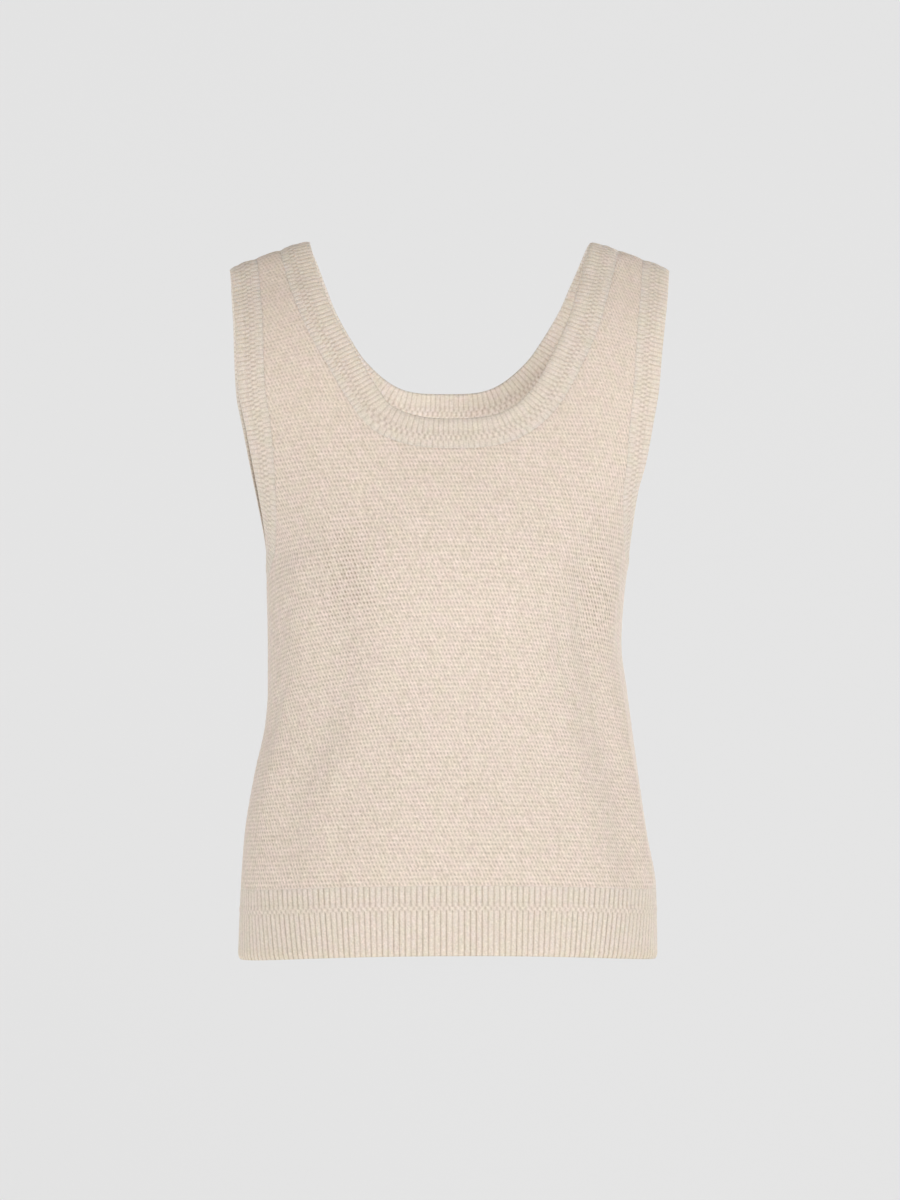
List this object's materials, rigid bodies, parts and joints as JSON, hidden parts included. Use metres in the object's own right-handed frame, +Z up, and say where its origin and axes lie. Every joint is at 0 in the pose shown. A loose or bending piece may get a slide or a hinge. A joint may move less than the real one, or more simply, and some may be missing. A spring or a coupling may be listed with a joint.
{
  "type": "knit tank top",
  "caption": "Hollow knit tank top held as worn: scooped ribbed neckband, wide straps, ribbed armhole bands and a broad ribbed hem.",
  "frame": {"origin": "midway between the two shoulders, level with the highest point of the shoulder seams, where the straps hang on the wearer", "axes": "+Z up; the front faces -Y; the wearer's left is at +X and the wearer's right at -X"},
  "size_m": [0.3704, 0.2134, 0.6007],
  "materials": {
    "pin_point_knit": "fine mercerised cotton knit of small purl bumps, warm sand, softly mottled, dull with a slight nap",
    "rib_knit": "the same yarn in raised rib with a purl row across it, a little paler and yellower"
  },
  "bodies": {
    "root": {"front_panel": "pin_point_knit", "back_panel": "pin_point_knit", "hem_band_front": "rib_knit", "hem_band_back": "rib_knit", "neckband": "rib_knit", "armband_left": "rib_knit", "armband_right": "rib_knit"}
  },
  "joints": []
}
